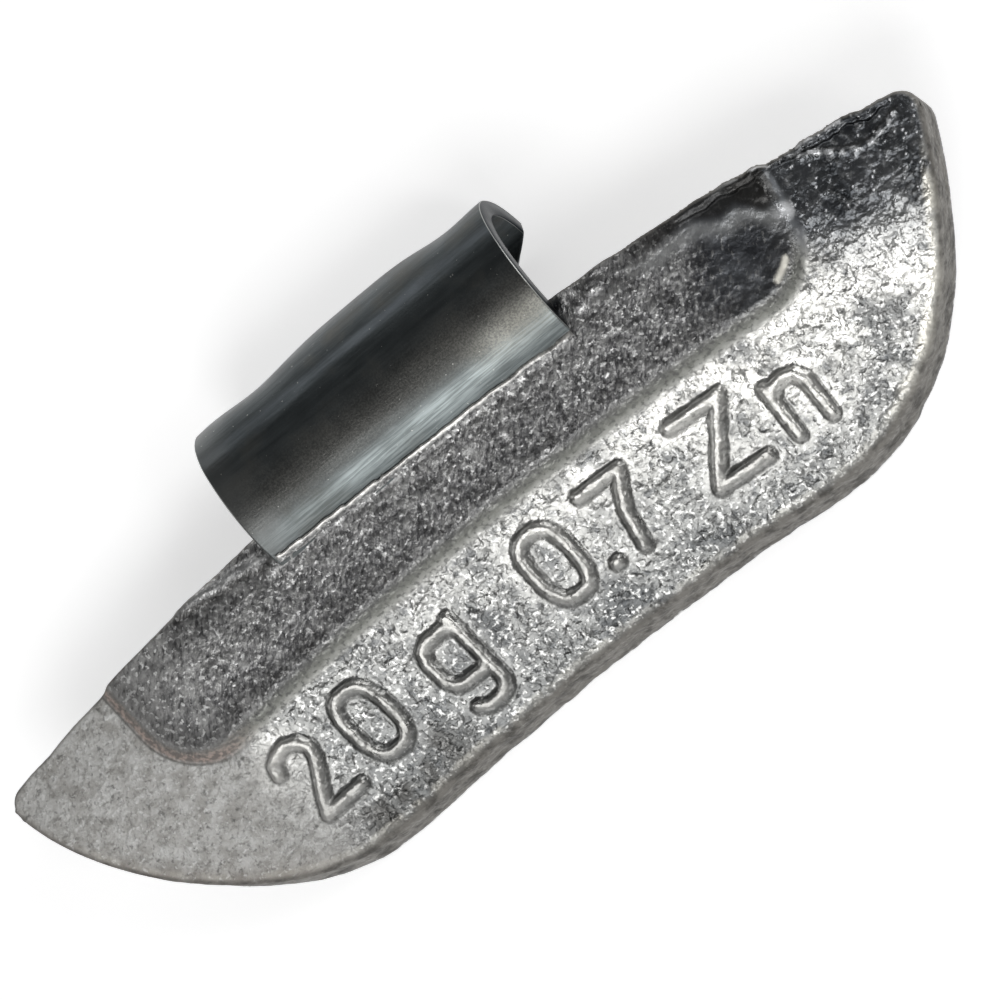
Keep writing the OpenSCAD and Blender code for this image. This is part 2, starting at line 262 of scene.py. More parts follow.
for name, start in row_of_figures:
    for path in figures[name]:
        for a, b in zip(path[:-1], path[1:]):
            ax, az, bx, bz = start + a[0], a[1], start + b[0], b[1]
            near = (along > min(ax, bx) - stroke_reach) & (along < max(ax, bx) + stroke_reach)
            near &= height < skirt_top
            px, pz = along[near], (height[near] - figure_foot) * slope
            d = (bx - ax, bz - az)
            q = np.clip(((px - ax) * d[0] + (pz - az) * d[1]) / (d[0] ** 2 + d[1] ** 2 + 1e-9), 0, 1)
            mark_gap[near] = np.minimum(mark_gap[near], np.hypot(px - ax - q * d[0], pz - az - q * d[1]))
mark_rise, mark_half = 0.36, 0.47
mark = np.clip(1 - (mark_gap / mark_half) ** 2.2, 0, 1) ** 0.75
mark_foot = np.exp(-((mark_gap - mark_half) / 0.12) ** 2)


def grain(px, pz, scale, seed, octaves=3):
    """Even random lumps of about this size over a face, from -1 to 1."""
    places = zip(px.ravel() / scale, pz.ravel() / scale)
    return np.array([noise.fractal((a, b, seed), 0.8, 2.0, octaves) for a, b in places]).reshape(px.shape)


def flow_line(points):
    """Distance from a line drawn on the face, and how far above it each place is."""
    line = np.array(points)
    gap = distance_to_line(along.ravel(), height.ravel(), line).reshape(X.shape)
    above = height - np.interp(along, line[:, 0], line[:, 1])
    return gap, above


swell = grain(X, Z, 4.5, 3.1, 2)
coarse = grain(X, Z, 1.1, 7.7, 2)
fine = grain(X, Z, 0.42, 5.2, 2)
worn = soft_step((-along - 15.5) / 7)
Y = Y - mark * mark_rise * (1 + 0.16 * coarse) + mark_foot * 0.06
pad_slope = np.exp(-((pad_in + 0.22) / 0.38) ** 2) * (height > pad_low - side_reach)
on_pad = np.where(height > pad_low - pad_reach, soft_step((pad_in + 0.1) / 0.5), 0)
calm = (1 - 0.7 * pad_slope) * (1 - 0.6 * mark) * (1 - 0.55 * on_pad)
Y = Y - 0.05 * swell - calm * ((0.020 + 0.046 * (1 - worn)) * coarse + (0.008 + 0.026 * (1 - worn)) * fine)

# Flash and lumps where the two halves of the mould met, beside the clip and along the top right
lumps = [
    (10.0, 5.6, 0.45, 0.4, 0.35), (10.4, 4.9, 0.4, 0.35, 0.28), (11.5, 5.2, 0.5, 0.25, 0.20),
    (-11.0, 5.3, 0.5, 0.3, 0.22), (-10.5, 4.5, 0.35, 0.3, 0.22), (12.4, 5.9, 0.9, 0.3, 0.14),
]
for at, h, wide, tall, rise in lumps:
    Y = Y - rise * np.exp(-((along - at) / wide) ** 2 - ((height - h) / tall) ** 2)
ridge_gap, over_ridge = flow_line([
    (-15.9, 6.3), (-15.0, 6.15), (-14.0, 5.9), (-13.1, 5.6), (-12.7, 5.75), (-11.8, 5.5), (-11.0, 5.2)])
Y = Y - 0.20 * np.exp(-(ridge_gap / 0.30) ** 2)
crack_gap, over_crack = flow_line([
    (23.6, 4.95), (24.1, 4.88), (25.0, 4.34), (25.8, 3.92), (26.5, 3.73), (27.1, 3.72), (27.6, 3.89),
    (28.1, 4.07), (28.6, 4.3)])
Y = Y - 0.12 * np.exp(-(crack_gap / 0.18) ** 2)
skin_gap, over_skin = flow_line([
    (12.6, 5.3), (14.2, 4.95), (15.8, 4.98), (17.4, 5.05), (18.2, 4.6), (18.8, 4.3), (19.7, 4.45),
    (20.3, 4.0), (20.8, 3.5)])
Y = Y - 0.05 * np.exp(-(skin_gap / 0.18) ** 2)
seam = 0.55 + 0.30 * grain(X, Z * 0, 1.9, 9.4, 3)
seam_here = soft_step((X - 15) / 4) * soft_step((30.0 - X) / 1.5)
lip = soft_step((seam - top_gap) / 0.22)
Y = Y - seam_here * (0.13 * lip * (0.7 + 0.8 * coarse) - 0.14 * np.exp(-((top_gap - seam) / 0.10) ** 2))
# The zinc wets the clip's neck, a little higher at the left, and ends in a thin lip against it
clip_w, neck_r = 20.0, 5.5
neck_y = hook_y + neck_r - hook_r
from_clip = np.abs(X - clip_x)
lip_z = np.interp(X, [-10.4, -9.8, -1.9, 4.8, 9.0, 9.6], [4.50, 4.40, 4.16, 4.07, 3.92, 3.88])
lip_z += 0.06 * grain(X, Z * 0, 1.3, 2.6, 3)
neck_front = neck_y - np.sqrt((neck_r + sheet) ** 2 - (hook_z - lip_z) ** 2)
lip_rise = np.maximum(Y - neck_front, 0) + 0.06
lip_here = soft_step((Z - lip_z + 0.42) / 0.30) * (Z < lip_z + 0.02)
lip_here = lip_here * soft_step((clip_w / 2 - from_clip) / 0.25)
Y = Y - lip_rise * lip_here

# The edge is rounded over, more at the front than a sharp mould would leave it
round_r = 0.42
Y = Y + round_r - np.sqrt(round_r ** 2 - np.clip(round_r - edge_gap, 0, round_r) ** 2)

# Back: even with the face, thicker in the middle, where one straight lean meets the rim
boss_back, boss_foot, boss_half = 0.8, 0.2, 20.0
boss_slope = (foot_back - boss_back) / (foot_drop + boss_foot + top_rise)
back_rows = 30
downward = np.linspace(1, 0, back_rows + 1)
back_x = np.repeat(xs[:, None], back_rows + 1, 1)
back_z = bottom[:, None] + (top - bottom)[:, None] * downward[None, :]
back_height = np.hypot(back_x, back_z + rim_r) - rim_r
even = face_y(back_height) + edge_t
boss = np.maximum(foot_back - (back_height + foot_drop + boss_foot) * boss_slope - even, 0)
back_y = even + boss * soft_step((boss_half + 0.25 - np.abs(back_x)) / 0.5)
back_y = back_y - 0.02 * grain(back_x, back_z, 3.0, 2.2, 2)

# The walls between face and back, and then the whole skin as rings from end to end
wall_rows = 8


def wall(from_y, to_y, edge_z):
    """The rows of points of one wall, from the edge of one side to the edge of the other."""
    steps = np.linspace(0, 1, wall_rows + 2)[1:-1]
    return np.stack([np.stack([xs, from_y + (to_y - from_y) * step, edge_z], 1) for step in steps], 1)


ring = np.concatenate([
    np.stack([X, Y, Z], 2),
    wall(Y[:, -1], back_y[:, 0], top),
    np.stack([back_x, back_y, back_z], 2),
    wall(back_y[:, -1], Y[:, 0], bottom),
], 1)
# A shallow trough along the top edge leaves room for the rim's flange in the hook
trough_r, trough_room, lowest_top = 6.0, 0.1, 4.0
trough_z = hook_z - hook_r - trough_room + trough_r
from_middle = np.clip(np.abs(ring[:, :, 1] - hook_y), 0, trough_r)
trough = trough_z - np.sqrt(trough_r ** 2 - from_middle ** 2)
ring[:, :, 2] = np.where(ring[:, :, 2] < lowest_top, ring[:, :, 2], np.minimum(ring[:, :, 2], trough))
around = ring.shape[1]


def on_face(values, elsewhere=0.0):
    """A mask over the whole skin: these values on the front face and one value everywhere else."""
    mask = np.full((columns + 1, around), elsewhere)
    mask[:, :rows + 1] = values
    return mask


# Masks that the zinc's finish and its painted light and shade follow. The walls are where the edge was
# trimmed
wall_mask = on_face(1 - soft_step(edge_gap / 0.5))
wall_mask[:, rows + 1:rows + 1 + wall_rows] = 1
wall_mask[:, rows + 1 + wall_rows + back_rows + 1:] = 1
# A ring of painted shade round the foot of each figure
foot_shade_ring = np.exp(-((mark_gap - mark_half * 0.98) / 0.16) ** 2)
near_mark = np.exp(-np.minimum(mark_gap, 5) ** 2)
# A painted sheen on the skirt, most towards the right, along its middle and beside the figures
skirt_painted_sheen = np.interp(along + 2.5 * swell, [-24, -14, -6, 8, 18, 27], [0.55, 0.11, 0.26, 0.40, 0.58, 1.0])
skirt_painted_sheen *= np.interp(height + 0.8 * swell, [-8.2, -6.0, -3.0, -1.2, 1.0, 3.5, 6.0],
                   [0.24, 0.46, 0.93, 1.3, 1.0, 0.4, 0.18])
skirt_painted_sheen *= 1 + 0.6 * near_mark
# A painted sheen on the pad, stronger towards its left and its top
pad_painted_sheen = np.interp(along + 2 * swell, [-21, -12, 9, 21], [0.75, 0.55, 0.5, 0.1])
pad_painted_sheen *= np.interp(height - pad_low + 0.5 * swell, [0.3, 1.4, 3.2, 5.5], [0.0, 0.6, 1.1, 1.2])
painted_sheen = skirt_painted_sheen + (pad_painted_sheen - skirt_painted_sheen) * on_pad
down_the_side = np.where(height > pad_low - side_reach, -pad_in, far_off)
corner_dark = soft_step((along + 1.2 * swell - 19.6) / 2.4) * soft_step((height + 1.4 * swell + 4.2) / 7.4)
# Painted highlights along the raised lines where the zinc flowed last, with painted shade beside each
flow_highlight = np.exp(-(crack_gap / 0.12) ** 2) * np.clip(0.6 + 1.6 * fine, 0, 1)
flow_highlight += 0.55 * np.exp(-((over_skin + 0.45) / 0.42) ** 2) * (skin_gap < 1.4) * soft_step((along - 13) / 2)
top_line = np.exp(-((top_gap - 0.20) / 0.11) ** 2) * soft_step((coarse + 0.10) / 0.12)
flow_highlight += top_line * soft_step((X - 19) / 2) * (X < 27.5)
flow_highlight += 0.35 * np.exp(-((over_ridge - 0.02) / 0.20) ** 2) * (ridge_gap < 0.7)
shade = 0.85 * soft_step(over_skin / 0.35) * soft_step((along - 13.5) / 2) * (pad_in > -0.3)
shade += 0.8 * np.exp(-((over_ridge + 0.45) / 0.24) ** 2) * (ridge_gap < 0.8)
shade += 0.7 * np.exp(-((over_crack - 0.22) / 0.14) ** 2) * (crack_gap < 0.5)
# Painted shade along the pad's rim, and a darker band low on the skirt below the first figures
pad_rim_shade = on_pad * np.exp(-((pad_in - 0.45 + 0.3 * swell) / 0.85) ** 2)
shade += pad_rim_shade * np.interp(along, [-21, -16, 0, 12, 20], [0.62, 0.60, 0.35, 0.40, 0.5])
low_darkening = soft_step((-5.5 + 0.9 * swell - height) / 1.2) * soft_step((along + 18.4) / 2.0)
shade += 0.95 * low_darkening * soft_step((-7.5 - along) / 4) * np.clip(0.85 + coarse, 0.3, 1)
# The pad's streaks end towards the right, where its skin is smooth
strokes = 1 - 0.8 * soft_step((along + 1.5 * swell - 14) / 4)
glint_gap = flow_line([(19.45, 0.50), (20.05, 0.85), (20.4, 1.15)])[0]
worn_rim = worn * np.exp(-((Z - bottom[:, None]) / 0.9) ** 2)
# A painted highlight along the rounded lower edge, most at the right
edge_highlight_share = (Z - bottom[:, None] < top_gap) * (0.30 + 0.70 * soft_step((X - 17) / 8))
edge_highlight_share = edge_highlight_share * np.clip(0.9 + 0.9 * coarse, 0.2, 1)
painted_edge_highlight = np.exp(-((edge_gap - 0.36) / 0.26) ** 2) * edge_highlight_share * (1 - 0.9 * soft_step((height - 0.2) / 3))
above_lip = np.where(from_clip < clip_w / 2, Z - lip_z + 0.10, far_off)
masks = {
    "pad": on_face(on_pad), "wall": wall_mask, "mark_foot": on_face(foot_shade_ring), "crest": on_face(mark),
    "painted_sheen": on_face(painted_sheen), "worn": on_face(worn), "pad_slope": on_face(down_the_side, far_off),
    "edge": on_face(painted_edge_highlight), "clip_line": on_face(above_lip, far_off), "corner": on_face(corner_dark),
    "flow_highlight": on_face(flow_highlight), "shade": on_face(np.clip(shade, 0, 1)), "strokes": on_face(strokes),
    "glint": on_face(soft_step(1.4 - glint_gap / 0.17)), "near_mark": on_face(near_mark),
    "rim": on_face(worn_rim),
}

# The walls are rough from trimming: small steps along the rim and across it
rest_of_ring = ring[:, rows + 1:].reshape(-1, 3) / [0.9, 0.5, 0.9]
rough = np.array([noise.fractal(tuple(place), 0.9, 2.0, 3) for place in rest_of_ring])
sink = rough.reshape(columns + 1, -1) * 0.07 * wall_mask[:, rows + 1:] * ends[:, None]
wall_way = np.where(np.arange(around - rows - 1) < wall_rows, 1.0, -1.0)
ring[:, rows + 1:, 2] -= sink * wall_way[None, :]


def mesh_from(name, points, faces, marks):
    """A piece from wheel-frame points and faces, with its masks as attributes of the points."""
    mesh = bpy.data.meshes.new(name)
    mesh.from_pydata([tuple(p) for p in laid(points)], [], faces)
    for label, values in marks:
        layer = mesh.attributes.new(label, "FLOAT", "POINT")
        layer.data.foreach_set("value", np.asarray(values, np.float32).ravel())
    # The tips close to one line, so the points that fall together there become one
    work = bmesh.new()
    work.from_mesh(mesh)
    bmesh.ops.remove_doubles(work, verts=work.verts, dist=2e-7)
    work.to_mesh(mesh)
    work.free()
    mesh.validate()
    mesh.shade_smooth()
    piece = bpy.data.objects.new(name, mesh)
    scene.collection.objects.link(piece)
    return piece


def tube_faces(rings, around):
    """Faces of a closed tube of this many rings, each with this many points around."""
    faces = []
    for i in range(rings - 1):
        this, after = i * around, (i + 1) * around
        for j in range(around):
            k = (j + 1) % around
            faces.append((this + j, after + j, after + k, this + k))
    return faces


casting = mesh_from("casting", ring.reshape(-1, 3), tube_faces(columns + 1, around), masks.items())


def surface(name):
    """A new material, with its nodes, its links and its main shader."""
    material = bpy.data.materials.new(name)
    material.use_nodes = True
    tree = material.node_tree
    return material, tree.nodes, tree.links, tree.nodes["Principled BSDF"]


def feed(socket, value):
    """Fill a socket with a number or a colour, or link it to another socket."""
    if isinstance(value, tuple):
        socket.default_value = (*value, 1)
    elif isinstance(value, (int, float)):
        socket.default_value = value
    else:
        links.new(value, socket)


def mixed(a, b, factor):
    """A mix of two colours or sockets by a factor socket."""
    mix = nodes.new("ShaderNodeMix")
    mix.data_type = "RGBA"
    for socket, value in ((mix.inputs[0], factor), (mix.inputs[6], a), (mix.inputs[7], b)):
        feed(socket, value)
    return mix.outputs[2]


def ramped(source, low, high, out_low=0.0, out_high=1.0):
    """A straight ramp between two limits of the source, level beyond them."""
    ramp = nodes.new("ShaderNodeMapRange")
    ramp.inputs["From Min"].default_value, ramp.inputs["From Max"].default_value = low, high
    ramp.inputs["To Min"].default_value, ramp.inputs["To Max"].default_value = out_low, out_high
    links.new(source, ramp.inputs["Value"])
    return ramp.outputs["Result"]


def added(a, b, operation="ADD"):
    """Two sockets or numbers, joined by a sum or another operation."""
    joint = nodes.new("ShaderNodeMath")
    joint.operation = operation
    feed(joint.inputs[0], a)
    feed(joint.inputs[1], b)
    return joint.outputs[0]


def times(a, b):
    """Two sockets or numbers, multiplied."""
    return added(a, b, "MULTIPLY")


def coated(base, *coats):
    """A base colour with coats over it, each a colour and how strongly it covers."""
    for coat, cover in coats:
        base = mixed(base, coat, cover)
    return base


def in_mm(stretch=(1, 1, 1), angle=0.0):
    """The piece's own millimetres, drawn out along axes that are turned by the angle."""
    where = nodes.new("ShaderNodeTexCoord")
    place = nodes.new("ShaderNodeMapping")
    place.vector_type = "TEXTURE"
    place.inputs["Scale"].default_value = [mm * s for s in stretch]
    place.inputs["Rotation"].default_value = (0, 0, angle)
    links.new(where.outputs["Object"], place.inputs["Vector"])
    return place.outputs["Vector"]


def speckle(vector, size, detail=3.0, roughness=0.6):
    """Soft random spots of about this size."""
    spots = nodes.new("ShaderNodeTexNoise")
    spots.inputs["Scale"].default_value = 1 / size
    spots.inputs["Detail"].default_value = detail
    spots.inputs["Roughness"].default_value = roughness
    links.new(vector, spots.inputs["Vector"])
    return spots.outputs["Fac"]


def attribute(label):
    """One of the piece's own masks."""
    mask = nodes.new("ShaderNodeAttribute")
    mask.attribute_name = label
    return mask.outputs["Fac"]


def beads(vector, apart, radius):
    """Small round bumps, scattered about this far apart."""
    cells = nodes.new("ShaderNodeTexVoronoi")
    cells.inputs["Scale"].default_value = 1 / apart
    links.new(vector, cells.inputs["Vector"])
    return ramped(cells.outputs["Distance"], radius / apart, 0, 0, 1)


def bumped(height, deep, strength):
    """Small relief in the shading, this deep in metres at full strength."""
    bump = nodes.new("ShaderNodeBump")
    bump.inputs["Distance"].default_value = deep
    feed(bump.inputs["Strength"], strength)
    links.new(height, bump.inputs["Height"])
    return bump.outputs["Normal"]


zinc, nodes, links, shader = surface("cast_zinc")
shader.inputs["Metallic"].default_value = 1.0
plain_mm = in_mm()
pad_f, wall_f, foot_shade_f = attribute("pad"), attribute("wall"), attribute("mark_foot")
crest_highlight_f, painted_sheen_f, worn_f = attribute("crest"), attribute("painted_sheen"), attribute("worn")
slope_f, corner_f, strokes_f = attribute("pad_slope"), attribute("corner"), attribute("strokes")
near_f, flow_highlight_f, glint_f = attribute("near_mark"), attribute("flow_highlight"), attribute("glint")
blotch = speckle(plain_mm, 1.0, 4)
cloudy = speckle(plain_mm, 3.4, 3)
mottle = speckle(plain_mm, 0.55, 3, 0.65)
crinkle = speckle(plain_mm, 0.46, 1.6, 0.5)
dents = speckle(plain_mm, 1.1, 2, 0.5)
pits = speckle(plain_mm, 0.36, 2, 0.5)
fleck = speckle(plain_mm, 0.26, 2, 0.5)
streaks = speckle(in_mm((1, 2.3, 1), math.radians(-38)), 0.20, 3, 0.6)
dots = beads(plain_mm, 0.50, 0.12)

# The skirt: dull grey with darker clouds, pale in a painted sheen, with pits and painted highlight flecks
worn_tone = coated(
    (0.60, 0.597, 0.58),
    ((0.355, 0.342, 0.32), ramped(blotch, 0.42, 0.64, 0, 0.75)),
    ((0.23, 0.222, 0.205), ramped(mottle, 0.53, 0.65, 0, 0.6)),
    ((0.20, 0.195, 0.185), ramped(streaks, 0.43, 0.34, 0, 0.5)),
    ((0.27, 0.24, 0.21), times(attribute("rim"), 0.75)),
    # Painted highlight flecks
    ((0.80, 0.80, 0.79), ramped(fleck, 0.60, 0.70, 0, 0.6)),
)
fleck_and_mottle_f = times(ramped(worn_f, 0, 0.6, 1, 0), ramped(near_f, 0.3, 0.9, 1.0, 0.4))
clouds_f = times(ramped(cloudy, 0.50, 0.61, 0, 0.78), ramped(near_f, 0.2, 0.9, 1.0, 0.25))
skirt_colour = coated(
    (0.16, 0.165, 0.165),
    # Paler in the painted sheen
    ((0.88, 0.87, 0.83), painted_sheen_f),
    ((0.088, 0.092, 0.095), clouds_f),
    ((0.16, 0.165, 0.165), ramped(blotch, 0.52, 0.64, 0, 0.4)),
    (worn_tone, worn_f),
    ((0.07, 0.07, 0.065), ramped(pits, 0.40, 0.28, 0, 0.6)),
    # Painted highlight flecks, fewer where worn and beside the figures
    ((0.95, 0.95, 0.93), times(ramped(fleck, 0.54, 0.66, 0, 0.64), fleck_and_mottle_f)),
    ((0.09, 0.095, 0.10), times(ramped(mottle, 0.46, 0.35, 0, 0.68), fleck_and_mottle_f)),
)
# The pad: streaked over most of its length, with a smooth bluish skin towards the right
streaked = coated(
    (0.175, 0.175, 0.18),
    ((0.37, 0.37, 0.365), ramped(streaks, 0.46, 0.60)),
    # Paler in the painted sheen
    ((0.48, 0.475, 0.46), ramped(painted_sheen_f, 0.3, 1.1, 0, 0.55)),
    ((0.07, 0.07, 0.07), ramped(streaks, 0.45, 0.36, 0, 0.8)),
    ((0.10, 0.10, 0.10), ramped(blotch, 0.47, 0.37, 0, 0.5)),
    ((0.62, 0.62, 0.61), ramped(blotch, 0.54, 0.70, 0, 0.5)),
    # Painted highlight flecks
    ((0.90, 0.90, 0.89), ramped(fleck, 0.58, 0.66, 0, 0.8)),
)
pad_colour = coated(
    (0.125, 0.132, 0.143),
    ((0.055, 0.058, 0.065), ramped(cloudy, 0.42, 0.58)),
    ((0.30, 0.30, 0.30), ramped(streaks, 0.58, 0.64, 0, 0.6)),
    (streaked, ramped(strokes_f, 0.2, 0.9)),
)
# The pad's sloping side in painted shading: dark and flecked at its rim, paler and smooth towards its foot
down_f = added(slope_f, times(mottle, 0.36))
worn_side = mixed((0.20, 0.175, 0.16), (0.42, 0.34, 0.30), ramped(fleck, 0.44, 0.62))
side_shading_colour = coated(
    (0.12, 0.12, 0.118),
    ((0.27, 0.275, 0.25), ramped(down_f, 0.02, 0.50)),
    ((0.56, 0.56, 0.53), ramped(down_f, 0.46, 0.74)),
    ((0.10, 0.10, 0.10), ramped(fleck, 0.47, 0.37, 0, 0.6)),
    ((0.10, 0.10, 0.10), ramped(corner_f, 0.0, 0.45, 0, 0.7)),
    (worn_side, times(ramped(worn_f, 0.1, 0.6), ramped(down_f, 0.10, 0.45))),
)
side_here = times(ramped(slope_f, -0.30, 0.06), ramped(slope_f, 0.44, 0.70, 1, 0))
# A line of painted shade along the foot of the slope
side_foot_shade = times(ramped(slope_f, 0.52, 0.62), ramped(slope_f, 0.64, 0.76, 1, 0))
# The dark right corner, with small bright dots of painted highlight on its beads
corner_colour = coated(
    (0.32, 0.33, 0.34),
    ((0.12, 0.128, 0.14), ramped(corner_f, 0.40, 1.0)),
    ((0.03, 0.034, 0.04), ramped(cloudy, 0.45, 0.62, 0, 0.85)),
    ((0.40, 0.41, 0.42), ramped(mottle, 0.54, 0.64, 0, 0.55)),
    ((0.95, 0.96, 0.98), ramped(dots, 0.25, 0.65, 0, 0.9)),
)
wall_colour = mixed((0.21, 0.20, 0.182), (0.10, 0.094, 0.085), ramped(blotch, 0.46, 0.62))
beside_clip = ramped(added(attribute("clip_line"), 0, "ABSOLUTE"), 0.06, 0.16, 1, 0)
colour = coated(
    skirt_colour,
    (pad_colour, pad_f),
    (side_shading_colour, times(side_here, 0.95)),
    # Painted shade along the foot of the pad's slope, most at the left
    ((0.06, 0.06, 0.055), times(side_foot_shade, ramped(worn_f, 0, 1, 0.15, 0.65))),
    # Painted shade round the feet of the figures
    ((0.05, 0.05, 0.045), ramped(foot_shade_f, 0.35, 1.0, 0, 0.55)),
    # A painted highlight on the figures' crests
    ((0.50, 0.49, 0.46), ramped(crest_highlight_f, 0.5, 1.0, 0, 0.4)),
    (corner_colour, ramped(corner_f, 0.1, 0.9, 0, 0.9)),
    ((0.05, 0.048, 0.045), times(attribute("shade"), 0.85)),
    # Painted highlights along the flow lines, whiter in the dark corner
    ((0.48, 0.49, 0.49), flow_highlight_f),
    ((0.80, 0.81, 0.83), times(ramped(flow_highlight_f, 0.1, 0.7), ramped(corner_f, 0.5, 0.9))),
    ((1.0, 0.97, 0.87), glint_f),
    (wall_colour, ramped(wall_f, 0.35, 0.9, 0, 0.88)),
    # A painted highlight along the rounded lower edge
    ((0.92, 0.89, 0.80), ramped(attribute("edge"), 0.1, 0.9, 0, 0.8)),
    ((0.85, 0.84, 0.80), times(beside_clip, ramped(fleck, 0.42, 0.55, 0.45, 0.95))),
)
links.new(colour, shader.inputs["Base Color"])

# Wear, the pale lines and the glint look less like bare metal, and worn places are duller
bare = times(ramped(worn_f, 0, 1, 1.0, 0.25), ramped(flow_highlight_f, 0, 1, 1.0, 0.3))
links.new(times(bare, ramped(glint_f, 0, 1, 1.0, 0.15)), shader.inputs["Metallic"])
smooth_side = times(times(side_here, ramped(slope_f, 0.0, 0.4)), ramped(corner_f, 0, 0.5, 0.6, 1.0))
dullness = added(ramped(worn_f, 0, 1, 0, 0.24), times(pad_f, 0.06))
dullness = added(ramped(blotch, 0.35, 0.65, 0.26, 0.36), dullness)
dullness = added(dullness, ramped(smooth_side, 0, 1, 0, 0.18))
links.new(added(dullness, ramped(wall_f, 0, 1, 0, 0.25)), shader.inputs["Roughness"])
# The grain of the mould, shallower where the zinc is worn, smooth, or close to a figure or the clip
relief = times(crinkle, 0.44)
for part in (
    times(pits, 0.25), times(fleck, 0.22), times(dents, 1.1),
    times(times(streaks, 0.9), times(pad_f, strokes_f)),
    times(beads(plain_mm, 0.52, 0.09), 0.16),
    times(times(dots, 0.5), corner_f),
    times(times(fleck, 0.8), worn_f),
):
    relief = added(relief, part)
depth = ramped(worn_f, 0, 1, 1.0, 0.7)
for less in (
    ramped(smooth_side, 0.1, 0.7, 1.0, 0.15), ramped(pad_f, 0, 1, 1.0, 0.5),
    ramped(near_f, 0, 1, 1.0, 0.45), ramped(beside_clip, 0, 1, 1.0, 0.1),
):
    depth = times(depth, less)
links.new(bumped(relief, 0.20 * mm, depth), shader.inputs["Normal"])
casting.data.materials.append(zinc)
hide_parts("zinc_casting")
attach(casting, "root")

# The clip. A strip of 1 mm spring steel, rolled into a hook that snaps over the rim's flange,
# with a straight tang that the zinc holds. It is dark from its passivating bath, and its roll
# is a little uneven from the bending tool; the free end is a tongue, longest in the middle.
neck_deg, tang_len = 56.0, 3.2
tongue_low, tongue_high = 8.2, 12.1
mid_r, neck_mid = hook_r + sheet / 2, neck_r + sheet / 2
roll_steps, neck_steps, tang_steps = 60, 25, 10
# At the two cut ends the edges are eased a little, and a last ring nearly closes each cut face
clip_columns, edge_step, eased, nearly_shut = 110, 0.07, 0.06, sheet / 2 - 0.02
even_steps = np.linspace(-1, 1, clip_columns + 1)
clip_xs = clip_x + clip_w / 2 * (0.6 * even_steps + 0.4 * np.sin(even_steps * math.pi / 2))
clip_xs = np.concatenate([[clip_xs[0]] * 2, clip_xs, [clip_xs[-1]] * 2])
clip_xs[2], clip_xs[-3] = clip_xs[0] + edge_step, clip_xs[-1] - edge_step
pull_in = np.concatenate([[nearly_shut, eased], np.zeros(clip_columns + 1), [eased, nearly_shut]])


def clip_path(x):
    """Middle line of the sheet at x, from the tongue's end over the hook and down into the zinc,
    with the outward direction at each point."""
    across = (x - clip_x) / (clip_w / 2)
    end_z = tongue_low + (tongue_high - tongue_low) * abs(across) ** 2.2
    first = math.degrees(math.asin(np.clip((end_z - hook_z) / mid_r, -0.9, 0.9)))
    angles = np.radians(np.linspace(first, 180, roll_steps))
    out_roll = np.stack([np.cos(angles), np.sin(angles)], 1)
    rolled = np.array([hook_y, hook_z]) + mid_r * out_roll
    angles = np.radians(np.linspace(180, 180 + neck_deg, neck_steps + 1)[1:])
    out_neck = np.stack([np.cos(angles), np.sin(angles)], 1)
    necked = np.array([neck_y, hook_z]) + neck_mid * out_neck
    steps = np.linspace(0, tang_len, tang_steps + 1)[1:]
    way = np.array([math.sin(math.radians(neck_deg)), -math.cos(math.radians(neck_deg))])
    tang = necked[-1] + steps[:, None] * way
    out_tang = np.repeat(out_neck[-1:], tang_steps, 0)
    line = np.concatenate([rolled, necked, tang])
    out = np.concatenate([out_roll, out_neck, out_tang])
    # The bending tool left the crest lower beside the middle and at the corners
    crest_drop = 0.50 * math.exp(-((x - 7.0) / 2.4) ** 2) + 0.45 * math.exp(-((x + 6.2) / 2.6) ** 2)
    crest_drop += 0.30 * abs(across) ** 6
    line[:, 1] -= crest_drop * np.clip((line[:, 1] - hook_z) / mid_r, 0, 1) ** 2
    return line, out


sections = []
for x, shrink in zip(clip_xs, pull_in):
    line, out = clip_path(x)
    half = sheet / 2 - shrink
    loop = np.concatenate([line + out * half, (line - out * half)[::-1]])
    sections.append(np.stack([np.full(len(loop), x), loop[:, 0], loop[:, 1]], 1))
strip = np.stack(sections)
ring_count = strip.shape[1]
# The sheet wanders in and out a little round the roll
places = strip.reshape(-1, 3)
wobble = np.array([noise.fractal(tuple(place), 0.9, 2.0, 2) for place in places / [6.0, 2.5, 2.5]])
outward = places - [0, hook_y, hook_z]
outward[:, 0] = 0
outward /= np.linalg.norm(outward, axis=1)[:, None] + 1e-9
strip = (places + outward * wobble[:, None] * 0.03).reshape(strip.shape)
# Its rings run the other way round than the casting's, so the faces are turned over
strip_faces = [(face[0], face[3], face[2], face[1]) for face in tube_faces(len(sections), ring_count)]
# The two cut faces are closed straight across the sheet
half_ring = ring_count // 2
last_ring = (len(sections) - 1) * ring_count
for j in range(half_ring - 1):
    k = ring_count - 1 - j
    strip_faces.append((j, k, k - 1, j + 1))
    strip_faces.append((last_ring + j, last_ring + j + 1, last_ring + k - 1, last_ring + k))
# Masks that its tones and its painted light and shade follow: bands along the rim at their own heights, and
# the cut edges
rightward, up = strip[:, :, 0], strip[:, :, 2]
# A band of painted sheen low on the clip, weaker towards the left
low = np.exp(-((up - 4.95) / 0.36) ** 2) + 0.45 * np.clip((4.9 - up) / 0.4, 0, 1)
low = np.clip(low, 0, 1) * np.interp(rightward, [-10, -5, 0], [0.45, 0.75, 1.0])
# The cut faces: painted shade on them, and a painted highlight along their eased edges
cut = np.zeros(strip.shape[:2])
cut[[0, 1, -2, -1]] = 1
cut[[2, -3], half_ring:] = 1
# A painted highlight across the roll at its bend, and a cream painted highlight towards the right
masks = {
    "low": low, "cut": cut, "left": soft_step((-rightward - 7.6) / 2.4),
    "middle": np.exp(-((up - 6.6) / 1.2) ** 2), "bend_highlight": 0.6 * np.exp(-((up - 10.2) / 0.5) ** 2),
    "cream_highlight": soft_step((rightward - 3.5) / 4) * np.exp(-((up - 5.6) / 0.75) ** 2),
}
clip = mesh_from("clip", strip.reshape(-1, 3), strip_faces, masks.items())

